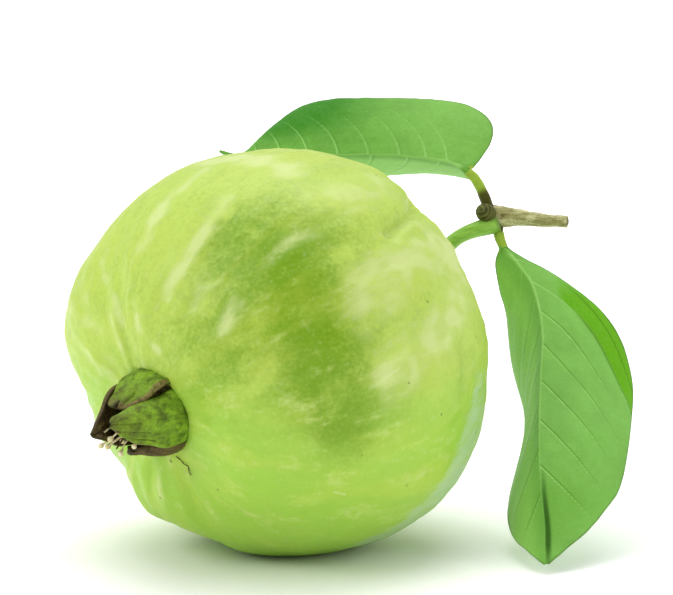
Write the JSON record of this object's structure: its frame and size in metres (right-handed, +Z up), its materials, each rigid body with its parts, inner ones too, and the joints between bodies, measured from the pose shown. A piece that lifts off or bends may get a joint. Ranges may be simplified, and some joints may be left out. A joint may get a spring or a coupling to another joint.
{
  "type": "guava",
  "caption": "Whole green guava lying on its side, with dried calyx, stalk, cut twig, bud and folded leaves.",
  "frame": {"origin": "centre of the small flat spot on the fruit's underside, which rests on the surface", "axes": "+Z up, +X to the right and +Y to the back when the calyx is at the left front; the fruit's own line runs from the blossom end (left, front) to the stem end (right, back)"},
  "size_m": [0.127, 0.1183, 0.0943],
  "materials": {
    "skin": "waxy, half-gloss",
    "calyx_green": "satin, leathery",
    "calyx_dry": "dry, matte",
    "stamen_dry": "dry, matte",
    "stalk": "satin",
    "bark": "rough",
    "leaf": "satin"
  },
  "bodies": {
    "root": {"fruit": "skin", "calyx_cup": "calyx_green", "sepal_upper": "calyx_green", "sepal_front": "calyx_green", "sepal_lower": "calyx_dry", "sepal_back": "calyx_dry", "style": "calyx_dry", "stamen_1": "stamen_dry", "stamen_2": "stamen_dry", "stamen_3": "stamen_dry", "stamen_4": "stamen_dry", "stamen_5": "stamen_dry", "stamen_6": "stamen_dry", "stamen_7": "stamen_dry", "stamen_8": "stamen_dry", "loose_filament": "calyx_dry", "twig": "bark", "bud": "bark", "stalk": "stalk", "leaf_lower": "leaf", "leaf_upper": "leaf"}
  },
  "joints": []
}
